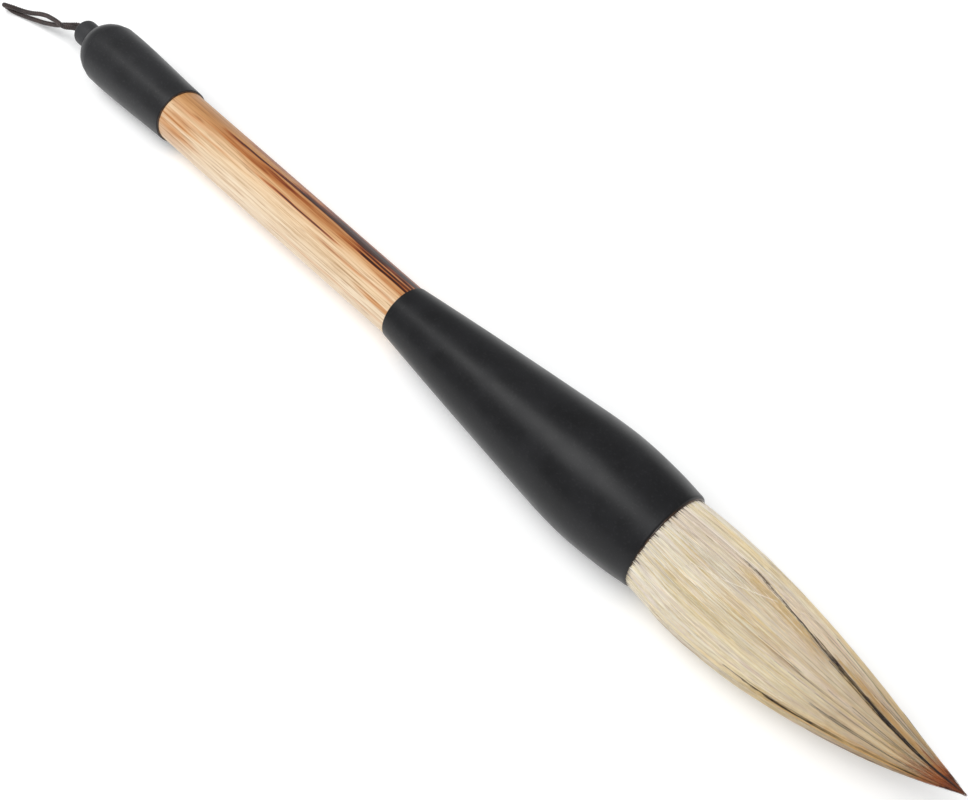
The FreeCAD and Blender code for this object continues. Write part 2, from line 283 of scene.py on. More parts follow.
def carried_frames(line):
    """For each point of a line: the distance along it, and two unit directions square to it."""
    steps = np.diff(line, axis=0)
    along = np.concatenate([[0], np.cumsum(np.linalg.norm(steps, axis=1))])
    tangents = np.gradient(line, along, axis=0)
    tangents /= np.linalg.norm(tangents, axis=1)[:, None]
    side = np.cross(tangents[0], (0, 0, 1.0))
    sides = []
    for tangent in tangents:
        side = side - tangent * (side @ tangent)
        side = side / np.linalg.norm(side)
        sides.append(side)
    sides = np.array(sides)
    return along, sides, np.cross(tangents, sides)


def bevelled(name, lines, radii, sides):
    """A mesh of round strands. Each line is an array of places, and each has its radii, one per place."""
    curve = bpy.data.curves.new(name, "CURVE")
    curve.dimensions = "3D"
    curve.bevel_depth = 1.0
    curve.bevel_resolution = sides
    curve.use_fill_caps = True
    for line, radius in zip(lines, radii):
        spline = curve.splines.new("POLY")
        spline.points.add(len(line) - 1)
        spline.points.foreach_set("co", np.column_stack([line, np.ones(len(line))]).ravel())
        spline.points.foreach_set("radius", radius)
    carrier = bpy.data.objects.new(name, curve)
    mesh = bpy.data.meshes.new_from_object(carrier)
    mesh.name = name
    bpy.data.objects.remove(carrier)
    bpy.data.curves.remove(curve)
    mesh.polygons.foreach_set("use_smooth", [True] * len(mesh.polygons))
    return in_scene(name, mesh)


def twisted_cord(name, line):
    along, side, up = carried_frames(line)
    yarns = []
    for start in (0, 1, 2):
        angle = 2 * math.pi * (along / YARN_PITCH + start / 3)
        outward = side * np.cos(angle)[:, None] + up * np.sin(angle)[:, None]
        yarns.append(line + YARN_OFFSET * outward)
    return bevelled(name, yarns, [np.full(len(line), YARN_R)] * 3, sides=2)


hanging_cord = twisted_cord("hanging_cord", cord_line)
print("hanging_cord: %d faces" % len(hanging_cord.data.polygons))


# %% [markdown]
# The wax makes the cord dark brown with small dull glints, and it is a little lighter where it rubs. A pattern on
# Object coordinates would slide over the cord when it swings. So each vertex remembers its place at rest in an
# attribute, and the finish reads that. The hair below does the same.

# %% waxed cord finish
def object_places(tree):
    """The piece's own coordinates turned into the brush's frame: X along the axis from the knob's face."""
    places = node(tree, "TexCoord").outputs["Object"]
    return node(tree, "Mapping", {"Vector": places, "Location": KNOB_FACE, "Rotation": (0, -TILT, 0)},
                vector_type="TEXTURE").outputs["Vector"]


def remember_places(piece):
    """Stores where each vertex lies at rest, in the brush's frame."""
    mesh = piece.data
    places = np.empty(len(mesh.vertices) * 3)
    mesh.vertices.foreach_get("co", places)
    places = (places.reshape(-1, 3) - np.array(LAY.translation)) @ np.array(LAY.to_3x3())
    layer = mesh.attributes.new("rest_place", "FLOAT_VECTOR", "POINT")
    layer.data.foreach_set("vector", places.ravel())


def rest_places(tree):
    return node(tree, "Attribute", attribute_name="rest_place").outputs["Vector"]


def stretched(tree, places, scale):
    """Coordinates scaled on each axis, so that a pattern on them is drawn out along the smallest."""
    return node(tree, "Mapping", {"Vector": places, "Scale": scale}).outputs["Vector"]


def streaks(tree, places, stretch, detail, **more):
    """The amount of a noise drawn out along the axes by the three numbers of stretch."""
    inputs = {"Vector": stretched(tree, places, stretch), "Scale": 1.0, "Detail": detail, **more}
    return node(tree, "TexNoise", inputs).outputs["Fac"]


def ramp(tree, value, stops):
    """A colour ramp through (position, colour) stops. Three numbers are a screen colour, four a linear one."""
    made = node(tree, "ValToRGB", {"Fac": value})
    elements = made.color_ramp.elements
    while len(elements) < len(stops):
        elements.new(0.5)
    for element, (position, colour) in zip(elements, stops):
        element.position, element.color = position, srgb(*colour) if len(colour) == 3 else colour
    return made.outputs["Color"]


def mixed(tree, amount, first, second, blend="MIX"):
    made = node(tree, "Mix", {0: amount, 6: first, 7: second}, data_type="RGBA", blend_type=blend)
    return made.outputs[2]


def bumped(tree, shader, height, strength, distance):
    made = node(tree, "Bump", {"Height": height, "Strength": strength, "Distance": distance})
    tree.links.new(made.outputs["Normal"], shader.inputs["Normal"])


def waxed_cord_finish(name, places_from):
    material, tree, shader = finish_with(name, Roughness=0.42, Specular_IOR_Level=0.45,
                                         Sheen_Weight=0.15, Sheen_Roughness=0.4)
    fuzz = node(tree, "TexNoise", {"Vector": places_from(tree), "Scale": 2600.0, "Detail": 3.0})
    rubs = node(tree, "TexNoise", {"Vector": places_from(tree), "Scale": 320.0, "Detail": 2.0})
    colour = ramp(tree, rubs.outputs["Fac"], [(0.35, (34, 22, 20)), (0.7, (66, 48, 43))])
    tree.links.new(colour, shader.inputs["Base Color"])
    bumped(tree, shader, fuzz.outputs["Fac"], 0.5, 0.08 * MM)
    return material


remember_places(hanging_cord)
hanging_cord.data.materials.append(waxed_cord_finish("waxed_cord", rest_places))

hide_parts("hanging_loop", "cord_tails")
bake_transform(hanging_cord)

# %% [markdown]
# ## Black turned pieces
# The cap, its knob and the socket are turned on a lathe from black horn or resin and polished to a satin. A
# lathe piece is one outline spun round the axis, so a few vertices are drawn and `bmesh.ops.spin` does the
# rest. The outline follows the design's own radii, and the edges get the small rounds that sanding leaves.

# %% spin an outline
TURN_STEPS = 160


def smooth_through(points):
    """A smooth curve through (x, y) points, as a function that also takes arrays."""
    xs, ys = np.array(points, float).T
    slopes = np.gradient(ys, xs)

    def at(x):
        x = np.clip(x, xs[0], xs[-1])
        i = np.clip(np.searchsorted(xs, x) - 1, 0, len(xs) - 2)
        width = xs[i + 1] - xs[i]
        t = (x - xs[i]) / width
        rise_part = t * (1 - t) ** 2 * width * slopes[i] + t * t * (t - 1) * width * slopes[i + 1]
        return (1 + 2 * t) * (1 - t) ** 2 * ys[i] + t * t * (3 - 2 * t) * ys[i + 1] + rise_part

    return at


def girth(name, stations):
    """A turned node's outer radius at each station, met by a ray that comes in square to the axis."""
    body = frame["nodes"][name]
    across = AXIS.cross(Vector((0, 1, 0))).normalized()
    outer = []
    for station in stations:
        middle = KNOB_FACE + AXIS * station
        met, place, _, _ = body.ray_cast(middle + across * 0.05, -across)
        outer.append((place - middle).length if met else 0.0)
    return list(zip(stations, outer))


def rounded(corner, towards_a, towards_b, size, steps=4):
    """Points of a small round at a corner, between its two neighbours in the outline."""
    c, a, b = (Vector(p) for p in (corner, towards_a, towards_b))
    first, last = c + (a - c).normalized() * size, c + (b - c).normalized() * size
    return [tuple(first * (1 - t) ** 2 + c * 2 * t * (1 - t) + last * t * t)
            for t in (i / steps for i in range(steps + 1))]


def spun(outline, closed=False, steps=TURN_STEPS):
    """A bmesh turned from an outline of (station, radius) points in the brush's own frame."""
    bm = bmesh.new()
    corners = [bm.verts.new((x, 0, r)) for x, r in outline]
    pairs = list(zip(corners, corners[1:])) + ([(corners[-1], corners[0])] if closed else [])
    edges = [bm.edges.new(pair) for pair in pairs]
    bmesh.ops.spin(bm, geom=corners + edges, axis=(1, 0, 0), angle=2 * math.pi, steps=steps, use_merge=True)
    bmesh.ops.remove_doubles(bm, verts=bm.verts, dist=1e-6)
    bmesh.ops.recalc_face_normals(bm, faces=bm.faces)
    return bm


def laid(name, bm, crease=math.radians(35)):
    """The finished object of a bmesh, laid in its place, smooth except over sharp edges."""
    mesh = bpy.data.meshes.new(name)
    for face in bm.faces:
        face.smooth = True
    for edge in bm.edges:
        if len(edge.link_faces) == 2 and edge.calc_face_angle(0) > crease:
            edge.smooth = False
    bm.to_mesh(mesh)
    bm.free()
    mesh.transform(LAY)
    print("%s: %d faces" % (name, len(mesh.polygons)))
    return in_scene(name, mesh)


# %% domed end cap
def domed_cap():
    """Knob seat, dome, shoulder, gently tapering side, thin rim, and the bore that the bamboo goes into."""
    bore_r = on_axis("bamboo_shaft")[:, 1].max() + 0.05 * MM
    seat_r = on_axis("cap_knob")[:, 1].max() + 0.2 * MM
    tenon_r, socket_depth = 2.85 * MM, 8 * MM
    dome_end, shoulder = 8.25 * MM, CAP_TOP + 8.5 * MM
    dome = girth("end_cap", [CAP_TOP + s * MM for s in (0.4, 0.8, 1.6, 2.8, 4.2, 5.8, 7.3, 8.25)])
    dome = [(x, r - 0.2 * MM * ((x - CAP_TOP) / dome_end) ** 2) for x, r in dome]
    side = girth("end_cap", [shoulder + s * MM for s in (0, 2, 5, 9, 14, 19, 24, 29, 34, 38.5)])
    rim_r = side[-1][1] - 0.02 * MM
    rim = rounded((CAP_RIM, rim_r), side[-1], (CAP_RIM, bore_r), 0.22 * MM)
    outline = [(CAP_TOP, tenon_r), (CAP_TOP, seat_r)] + dome + side + rim
    bore_floor = CAP_RIM - socket_depth
    return outline + [(CAP_RIM, bore_r), (bore_floor, bore_r), (bore_floor, tenon_r)]


end_cap = laid("domed_end_cap", spun(domed_cap(), closed=True))


# %% [markdown]
# The socket swells from the neck to the belly and closes again to a thin rolled lip. Its cup is hollow, so that
# the hair stands in it, and its outline goes in over the lip and down the cup's wall.

# %% trumpet socket
def trumpet():
    """Neck, belly, rolled lip, cup wall and cup floor, and the peg's bore at the neck."""
    cup_r = on_axis("root_resin")[:, 1].max() + 0.1 * MM
    cup_floor = on_axis("root_resin")[:, 0].min()
    peg_r = on_axis("joining_peg")[:, 1].max() + 0.05 * MM
    peg_end = on_axis("joining_peg")[:, 0].max() + 0.5 * MM
    span = MOUTH - NECK
    outside = smooth_through(girth("hair_socket", [NECK + span * f for f in (
        0.0, 0.07, 0.15, 0.25, 0.37, 0.5, 0.62, 0.7, 0.78, 0.84, 0.89, 0.94, 0.985)]))
    wall = [(x, float(outside(x))) for x in np.linspace(NECK, MOUTH - 1.5 * MM, 60)]
    lip_r, mouth_r = wall[-1][1], 13.9 * MM
    lip = rounded((MOUTH, lip_r - 0.15 * MM), wall[-1], (MOUTH, mouth_r - 1 * MM), 0.8 * MM, steps=6)
    cup = [(MOUTH - 0.35 * MM, mouth_r), (cup_floor, cup_r), (cup_floor, 0)]
    bore = [(peg_end, 0), (peg_end, peg_r), (NECK, peg_r)]
    return wall, lip, cup, bore


wall, lip, cup, bore = trumpet()
socket_bm = spun(wall + lip + cup)
bore_bm = spun([wall[0]] + bore[::-1])
bore_mesh = bpy.data.meshes.new("bore")
bore_bm.to_mesh(bore_mesh)
bore_bm.free()
socket_bm.from_mesh(bore_mesh)
bpy.data.meshes.remove(bore_mesh)
bmesh.ops.remove_doubles(socket_bm, verts=socket_bm.verts, dist=1e-6)
bmesh.ops.recalc_face_normals(socket_bm, faces=socket_bm.faces)
hair_socket = laid("trumpet_socket", socket_bm)


# %% [markdown]
# The knob is a short plug with a rounded face and a bore for the cord. It is less polished than the cap, since
# it is too small to hold against a polishing wheel.

# %% cord knob
def plug():
    rows = on_axis("cap_knob")
    knob_r, tenon_end = rows[:, 1].max(), rows[:, 0].max()
    bore_r, tenon_r = 1.6 * MM, 2.8 * MM
    face = rounded((0, knob_r), (0, bore_r), (CAP_TOP, knob_r), 1.1 * MM, steps=8)
    mouth = rounded((0, bore_r), (CAP_TOP, bore_r), (0, knob_r), 0.2 * MM)
    foot = rounded((CAP_TOP, knob_r), (0, knob_r), (CAP_TOP, tenon_r), 0.3 * MM)
    return mouth + face + foot + [(CAP_TOP, tenon_r), (tenon_end, tenon_r), (tenon_end, bore_r)]


cord_knob = laid("cord_knob", spun(plug(), closed=True, steps=96))


# %% [markdown]
# Black horn isn't quite black: it has faint grey clouds, the polish is uneven, and fine turning marks run round
# it. Roughness carries most of that, because on a dark piece the light shows more than the colour does.

# %% black horn finish
def black_horn_finish(name, roughness, dust, dark, light):
    material, tree, shader = finish_with(name, Specular_IOR_Level=0.21)
    places = object_places(tree)
    clouds = node(tree, "TexNoise", {"Vector": places, "Scale": 110.0, "Detail": 5.0, "Roughness": 0.6})
    specks = node(tree, "TexNoise", {"Vector": places, "Scale": 1500.0, "Detail": 2.0})
    marks = node(tree, "TexNoise", {"Vector": stretched(tree, places, (2600, 60, 60)), "Scale": 1.0})
    colour = ramp(tree, clouds.outputs["Fac"], [(0.3, (dark, dark, dark + 1)),
                                                (0.75, (light, light, light + 2))])
    dusty = node(tree, "Math", {0: specks.outputs["Fac"], 1: 0.62}, operation="GREATER_THAN")
    amount = node(tree, "Math", {0: dusty.outputs[0], 1: dust}, operation="MULTIPLY")
    tree.links.new(mixed(tree, amount.outputs[0], colour, srgb(92, 92, 94)), shader.inputs["Base Color"])
    polish = node(tree, "MapRange", {"Value": clouds.outputs["Fac"], "From Min": 0.3, "From Max": 0.7,
                                     "To Min": roughness - 0.05, "To Max": roughness + 0.08})
    tree.links.new(polish.outputs["Result"], shader.inputs["Roughness"])
    bumped(tree, shader, marks.outputs["Fac"], 0.12, 0.03 * MM)
    return material


polished_horn = black_horn_finish("polished_horn", roughness=0.33, dust=0.05, dark=25, light=33)
worn_horn = black_horn_finish("worn_horn", roughness=0.37, dust=0.1, dark=37, light=47)
matte_horn = black_horn_finish("matte_horn", roughness=0.5, dust=0.16, dark=50, light=62)

for piece, node_name, finish in ((end_cap, "end_cap", worn_horn), (hair_socket, "hair_socket", polished_horn),
                                 (cord_knob, "cap_knob", matte_horn)):
    piece.data.materials.append(finish)
    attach(piece, "handle")
    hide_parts(node_name)


# %% [markdown]
# ## Bamboo shaft
# The shaft is one internode of bamboo, scraped and lacquered. It isn't perfectly round: long shallow flutes run
# down it. So its spun tube has more steps round, and each vertex moves in or out by a slow noise that hardly
# changes along the axis.

# %% bamboo tube
def tube_outline():
    rows = on_axis("bamboo_shaft")
    tail, outer, bore_r = rows[:, 0].min(), rows[:, 1].max(), rows[:, 1].min()
    neck_r = girth("bamboo_shaft", [NECK - 0.3 * MM])[0][1]
    shown = np.linspace(CAP_RIM - 1 * MM, NECK - 0.15 * MM, 110)
    outside = [(x, outer + (neck_r - outer) * (x - CAP_RIM) / (NECK - CAP_RIM)) for x in shown]
    return [(tail, bore_r), (tail, outer)] + outside + [(NECK, neck_r - 0.12 * MM), (NECK, bore_r)]


def flute(bm, depth):
    """Moves the shown outside in and out by up to depth, in long flutes."""
    for vert in bm.verts:
        radius = math.hypot(vert.co.y, vert.co.z)
        if radius > 8 * MM and vert.co.x > CAP_RIM + 1 * MM and vert.co.x < NECK - 1 * MM:
            around = Vector((vert.co.x * 12, vert.co.y / radius * 2.2, vert.co.z / radius * 2.2))
            fine = Vector((vert.co.x * 30, vert.co.y / radius * 9, vert.co.z / radius * 9))
            change = depth * (noise.noise(around) + 0.35 * noise.noise(fine))
            vert.co.y *= 1 + change / radius
            vert.co.z *= 1 + change / radius


# %% [markdown]
# The cane was straightened over a fire, and that scorched it: brown streaks on its upper side, deepest near the
# socket. They are listed as from, to, angle round the shaft, half width and strength. A number stored
# on each vertex adds them up, so that the finish can burn the colour in.

# %% scorch streaks
SCORCH = [
    (81, 91, 70, 4.0, 1.6),
    (91, 102, 67, 3.4, 1.6),
    (98, 116, 76, 5.0, 0.6),
    (104, 141, 63, 4.5, 1.6),
    (112, 158, 57, 6.5, 1.5),
    (124, 163, 49, 10.0, 1.3),
    (96, 116, 101, 3.0, 0.45),
    (106, 133, 100, 2.9, 1.15),
    (138, 163, 82, 3.5, 0.9),
    (141, 163, 73, 4.0, 1.3),
    (136, 163, 65, 4.0, 1.3),
    (147, 163, 82, 3.5, 0.5),
    (150, 163, 92, 4.0, 0.3),
    (129, 163, 117, 4.0, 0.26),
    (152, 163, 138, 6.0, 0.5),
    (67, 88, 113, 2.2, 0.28),
    (55, 80, 131, 2.5, 0.24),
    (58, 72, 122, 15.0, 0.2),
    (50, 68, 160, 55.0, 0.22),
    (57, 74, 150, 9.0, 0.3),
    (57, 76, 99, 8.0, 0.28),
    (115, 160, 166, 4.0, 0.2),
    (62, 110, 86, 4.0, 0.16),
    (75, 155, 80, 12.0, 0.26),
    (82, 163, 30, 24.0, 0.6),
    (90, 163, 290, 30.0, 0.3),
    (60, 120, 250, 6.0, 0.4),
    (100, 150, 230, 3.0, 0.5),
    (70, 130, 330, 5.0, 0.45),
]


def scorched(x, angle):
    """How strongly a place is scorched, from 0 to 1. x is in millimetres and angle in degrees."""
    burn = 0.0
    for start, end, side, width, strength in SCORCH:
        wander = 2.5 * noise.noise(Vector((x * 0.06, side, 0)))
        off = abs((angle - side - wander + 180) % 360 - 180) / width
        if off < 1 and start - 6 < x < end + 6:
            ends = min(1.0, (x - start + 6) / 12, (end + 6 - x) / 12 if end < 160 else 1.0)
            rough = 0.75 + 0.5 * noise.noise(Vector((x * 0.14, angle * 0.55, side)))
            burn += strength * (1 - off * off) * ends * rough
    return min(burn, 1.0)


bamboo_bm = spun(tube_outline(), closed=True, steps=360)
burn_layer = bamboo_bm.verts.layers.float.new("scorch")
for vert in bamboo_bm.verts:
    if vert.co.y ** 2 + vert.co.z ** 2 > (8 * MM) ** 2:
        turned_to = math.degrees(math.atan2(vert.co.z, vert.co.y)) % 360
        vert[burn_layer] = scorched(vert.co.x / MM, turned_to)
flute(bamboo_bm, 0.11 * MM)
bamboo = laid("bamboo_tube", bamboo_bm)


# %% [markdown]
# Bamboo is a bundle of fibres: light and dark threads less than a millimetre wide and a few centimetres long.
# Noise stretched along the axis draws them, at three widths. The cane is paler on its lower side, so a ramp on
# how far a place faces the scorched side goes from cream through tan to a light brown.

# %% lacquered bamboo finish
TAN_SIDE = math.radians(24)


def facing(tree, places, side, radius):
    """From -1 to 1: how far a place on the shaft faces the direction side, an angle from +Y towards +Z."""
    direction = (0.0, math.cos(side) / radius, math.sin(side) / radius)
    return node(tree, "VectorMath", {0: places, 1: direction}, operation="DOT_PRODUCT").outputs["Value"]


def bamboo_finish():
    material, tree, shader = finish_with("lacquered_bamboo", Specular_IOR_Level=0.35, Coat_Weight=0.2,
                                         Coat_Roughness=0.3, Coat_IOR=1.45)
    places = object_places(tree)
    threads = streaks(tree, places, (38, 1900, 1900), 4.0, Roughness=0.65)
    bands = streaks(tree, places, (22, 360, 360), 2.0)
    dashes = streaks(tree, places, (85, 2600, 2600), 1.0)
    tan_facing = facing(tree, places, TAN_SIDE, 8.5 * MM)
    uneven = node(tree, "Math", {0: bands, 1: 0.9, 2: tan_facing}, operation="MULTIPLY_ADD").outputs[0]
    cane = ramp(tree, uneven, [(0.0, (241, 222, 195)), (0.45, (235, 206, 167)),
                               (0.85, (223, 177, 127)), (1.0, (208, 156, 103))])
    fibres = ramp(tree, threads, [(0.3, (198, 174, 146)), (0.5, (243, 235, 225)), (0.66, (1, 1, 1, 1))])
    colour = mixed(tree, 1.0, cane, fibres, "MULTIPLY")
    dash = ramp(tree, dashes, [(0.64, (1, 1, 1, 1)), (0.72, (170, 122, 82))])
    colour = mixed(tree, 0.45, colour, dash, "MULTIPLY")
    burn = node(tree, "Attribute", attribute_name="scorch").outputs["Fac"]
    ragged = node(tree, "MapRange", {"Value": threads, "From Min": 0.3, "From Max": 0.7, "To Min": 1.35,
                                     "To Max": 0.65}).outputs["Result"]
    burnt = node(tree, "Math", {0: burn, 1: ragged}, operation="MULTIPLY").outputs[0]
    brown = ramp(tree, burnt, [(0.0, (1, 1, 1, 1)), (0.3, (226, 184, 142)), (0.6, (166, 104, 66)),
                               (0.95, (68, 38, 30))])
    colour = mixed(tree, 1.0, colour, brown, "MULTIPLY")
    tree.links.new(colour, shader.inputs["Base Color"])
    gloss = node(tree, "MapRange", {"Value": threads, "To Min": 0.36, "To Max": 0.52})
    tree.links.new(gloss.outputs["Result"], shader.inputs["Roughness"])
    bumped(tree, shader, threads, 0.3, 0.06 * MM)
    return material


bamboo.data.materials.append(bamboo_finish())
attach(bamboo, "handle")
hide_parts("bamboo_shaft")


# %% [markdown]
# ## Glue and shade lines
# A little glue was squeezed out where the cap grips the cane and where the socket meets it, and again where the
# hair comes out of the cup. The beads are coloured near black, so they are also painted shade for the gaps and
# the lip's shadow at these joints. Each bead is a thin ring, spun from a small half-round section.

# %% glue beads, darkened as painted shade
def bead(name, station, radius, size):
    """A ring of squeezed-out adhesive, darkened as painted shade for the gap, that sits in the corner at this
    station and radius.
    """
    arc = [(station + size * math.cos(a) * 0.8, radius + size * math.sin(a))
           for a in np.linspace(0, 2 * math.pi, 10, endpoint=False)]
    bm = spun(arc, closed=True, steps=200)
    for vert in bm.verts:
        turned_to = math.atan2(vert.co.z, vert.co.y)
        probe = Vector((math.cos(turned_to) * 3, math.sin(turned_to) * 3, station * 99))
        uneven = 0.3 * size * noise.noise(probe)
        vert.co.x += uneven
    return laid(name, bm)


cap_glue_shade = bead("cap_glue_and_shade_line", CAP_RIM + 0.1 * MM, 8.86 * MM, 0.3 * MM)
neck_glue_shade = bead("neck_glue_and_shade_line", NECK - 0.08 * MM, 8.3 * MM, 0.22 * MM)
mouth_glue_shade = bead("mouth_glue_and_shade_line", MOUTH + 0.05 * MM, 13.85 * MM, 0.4 * MM)
# The bead colour is near black: painted shade for the gaps at these joints, over a little real glue.
glue, glue_shade_tree, glue_shade_shader = finish_with("amber_glue", Roughness=0.3, Specular_IOR_Level=0.5)
glue_shade_grain = node(glue_shade_tree, "TexNoise", {"Vector": object_places(glue_shade_tree), "Scale": 700.0, "Detail": 2.0})
glue_shade_tree.links.new(ramp(glue_shade_tree, glue_shade_grain.outputs["Fac"], [(0.35, (28, 19, 14)), (0.65, (78, 52, 32))]),
                    glue_shade_shader.inputs["Base Color"])
for piece in (cap_glue_shade, neck_glue_shade, mouth_glue_shade):
    piece.data.materials.append(glue)
    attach(piece, "handle")

# %% [markdown]
# ## Tuft of goat hair
# The tuft is thousands of hairs that leave the cup side by side and meet at the point. Modelling every hair is
# too much, and one smooth cone is too little. So there are two layers: a skin with ridges that follow the hair,
# and on it many loose hairs, each a thin tapering strand. Both follow the same shape, which is a radius and a
# lean along the axis: a used tuft never points quite straight.

# %% shape of the tuft
TUFT_RADIUS = smooth_through([(x * MM, r * MM) for x, r in (
    (-12, 12.9), (0, 13.7), (10, 14.55), (20, 14.6), (35, 13.4), (50, 10.9), (63, 7.9), (74, 4.9), (81, 2.8),
    (85.5, 1.4), (89, 0.3))])
TUFT_LEAN = smooth_through([(x * MM, d * MM) for x, d in (
    (-12, 0.0), (0, -0.2), (12, -1.0), (30, -1.25), (50, -1.0), (68, -0.3), (80, 0.6), (89, 1.8))])
LEAN_SIDE = math.radians(24)
TUFT_LENGTH = TIP - MOUTH + 2 * MM


def tuft_place(past_mouth, angle, share):
    """Places in the tuft, in the brush's frame. share is 0 on its middle line and 1 on its surface."""
    radius = TUFT_RADIUS(past_mouth) * share
    lean = TUFT_LEAN(past_mouth)
    y = radius * np.cos(angle) + lean * math.cos(LEAN_SIDE)
    z = radius * np.sin(angle) + lean * math.sin(LEAN_SIDE)
    return np.stack([MOUTH + past_mouth + 0 * angle, y, z], axis=-1)


def laid_places(places):
    """Places in the brush's frame, laid down with the brush."""
    rotation = np.array(LAY.to_3x3())
    return places @ rotation.T + np.array(LAY.translation)


WIDEST = TUFT_RADIUS(np.linspace(0, TUFT_LENGTH, 200)).max()
print("tuft: %.1f mm past the mouth, widest radius %.1f mm" % (TUFT_LENGTH / MM, WIDEST / MM))


# %% [markdown]
# The skin is spun like the turned pieces, with many steps round. Then each vertex takes its place on the leaning
# tuft, with locks and fine hair lines as ridges. The noise for them is read on a cylinder that doesn't narrow,
# and that unrolled place is stored as an attribute: the colour streaks then run together towards the point.

# %% hair skin
SKIN_STEPS, SKIN_RINGS = 480, 72
WALL = 2.1 * MM
FULL_RELIEF_R = 6 * MM


def skin_outline():
    """Outside from the cup to the point, and back along the inside, which leaves room for the inner hair."""
    rings = np.linspace(-9 * MM, TUFT_LENGTH, SKIN_RINGS)
    outside = [(MOUTH + x, max(float(TUFT_RADIUS(x)), 0.0)) for x in rings]
    inside = [(MOUTH + x * MM, r * MM) for x, r in (
        (79.2, 0), (78.5, 2.7), (70, 4.5), (50, 8.9), (20, 12.4), (0, 11.6), (-9, 11.2))]
    return outside + inside


def unrolled(angle, past_mouth):
    return Vector((math.cos(angle) * 14, math.sin(angle) * 14, past_mouth / MM))


def ridge(angle, past_mouth):
    """How far the skin stands in or out, in metres: broad locks, hair bundles and fine hairs."""
    place = unrolled(angle, past_mouth)
    locks = noise.noise(Vector((place.x * 0.22, place.y * 0.22, place.z * 0.018)))
    bundles = noise.noise(Vector((place.x * 0.9, place.y * 0.9, place.z * 0.02 + 7)))
    fine = noise.noise(Vector((place.x * 2.8, place.y * 2.8, place.z * 0.03 + 19)))
    grow = min(max((past_mouth / MM + 2) / 14, 0.12), 1.0)
    return (0.55 * locks + 0.42 * bundles + 0.1 * fine) * grow * MM


def hair_skin():
    bm = spun(skin_outline(), closed=True, steps=SKIN_STEPS)
    lie = bm.verts.layers.float_vector.new("hair_lie")
    for vert in bm.verts:
        past = vert.co.x - MOUTH
        radius = math.hypot(vert.co.y, vert.co.z)
        angle = math.atan2(vert.co.z, vert.co.y)
        vert[lie] = unrolled(angle, past)
        surface = float(TUFT_RADIUS(past))
        outer = radius > surface - 0.5 * WALL or past > 80 * MM
        slim = min(1.0, surface / FULL_RELIEF_R)
        stretch = 1 + (ridge(angle, past) * slim / max(surface, 0.4 * MM) if outer else 0)
        lean = float(TUFT_LEAN(past))
        vert.co.y = vert.co.y * stretch + lean * math.cos(LEAN_SIDE)
        vert.co.z = vert.co.z * stretch + lean * math.sin(LEAN_SIDE)
    return laid("mantle_hair", bm, crease=math.radians(75))


mantle_hair = hair_skin()


# %% [markdown]
# Each loose hair starts in the cup, follows the surface at its own angle and drifts a little sideways. Hairs
# come in locks: those of one lock share a drift, and lie closer together towards the point. A seeded random
# generator keeps every hair in its place each time the script runs.

# %% loose hairs
chance = np.random.default_rng(20260)
HAIR_POINTS = 8


def lock_drift(angle):
    """How far a lock at this angle swings sideways by the point, in radians."""
    return 0.16 * math.sin(3 * angle + 0.7) + 0.1 * math.sin(7 * angle + 2.1) + 0.05 * math.sin(17 * angle)


def hair_line(angle, start, end, depth, wander, drift=None):
    """One hair's line from start to end past the mouth. depth is how far it lies under the ridged skin."""
    t = np.linspace(0, 1, HAIR_POINTS)
    past = start + (end - start) * t
    progress = np.clip(past / TUFT_LENGTH, 0, 1)
    swing = lock_drift(angle) if drift is None else drift
    angles = angle + swing * progress ** 1.5 + wander * np.sin(t * 2.6 + angle * 9)
    radius = TUFT_RADIUS(past)
    relief = np.array([ridge(a, x) for a, x in zip(angles, past)]) * np.minimum(1, radius / FULL_RELIEF_R)
    under = (depth - relief) / np.maximum(radius, 0.6 * MM)
    return tuft_place(past, angles, 1 - np.minimum(under, 0.9))


def hair_radii(thick):
    """A hair's radius along it: even for most of its length, fine at its end."""
    t = np.linspace(0, 1, HAIR_POINTS)
    return thick * np.clip(1.02 - t ** 3, 0.08, 1)


def scattered_hairs(name, count, thick, lift, reach, lone=0.015):
    """A piece of many hairs. lift is the range of heights over the skin, and reach that of their ends."""
    lines, radii = [], []
    for number in range(count):
        angle = chance.uniform(0, 2 * math.pi)
        end = chance.uniform(*reach) * TUFT_LENGTH
        start = -6 * MM if number % 3 else chance.uniform(0, 0.5) * TUFT_LENGTH
        line = hair_line(angle, start, max(end, start + 8 * MM), -chance.uniform(*lift), chance.normal(0, lone))
        lines.append(laid_places(line))
        radii.append(hair_radii(thick * chance.uniform(0.7, 1.3)))
    return bevelled(name, lines, radii, sides=0)


ivory_hairs = scattered_hairs("ivory_hairs", 3200, 0.058 * MM, (-0.3 * MM, 0.3 * MM), (0.5, 1.0))
cream_hairs = scattered_hairs("cream_hairs", 2600, 0.06 * MM, (-0.3 * MM, 0.25 * MM), (0.55, 1.0))
blush_hairs = scattered_hairs("blush_hairs", 1500, 0.05 * MM, (-0.25 * MM, 0.3 * MM), (0.5, 0.97))
grey_hairs = scattered_hairs("grey_hairs", 600, 0.045 * MM, (-0.2 * MM, 0.28 * MM), (0.45, 0.95))
print("loose hairs:", [len(o.data.polygons) for o in (ivory_hairs, cream_hairs, blush_hairs, grey_hairs)])


# %% [markdown]
# Dark guard hairs gather in two streaks, one on the upper side and one low on the near side, and a few stand
# alone. Golden hairs lie beside them and in the middle. Near the point the brown core hair shows between the
# ivory ones.

# %% dark streaks and core hair
def streak(lines, radii, count, angle, start, end, spread, drift, thick):
    """Adds hairs that lie together in one dark streak, each starting and ending where it likes."""
    for _ in range(count):
        begin = start + abs(chance.normal(0, 0.07))
        finish_at = min(end + chance.normal(0, 0.03), 1.0)
        line = hair_line(angle + chance.normal(0, spread), begin * TUFT_LENGTH, finish_at * TUFT_LENGTH,
                         -chance.uniform(0.12, 0.36) * MM, chance.normal(0, 0.02), drift)
        lines.append(laid_places(line))
        radii.append(hair_radii(thick * chance.uniform(0.6, 1.3)))


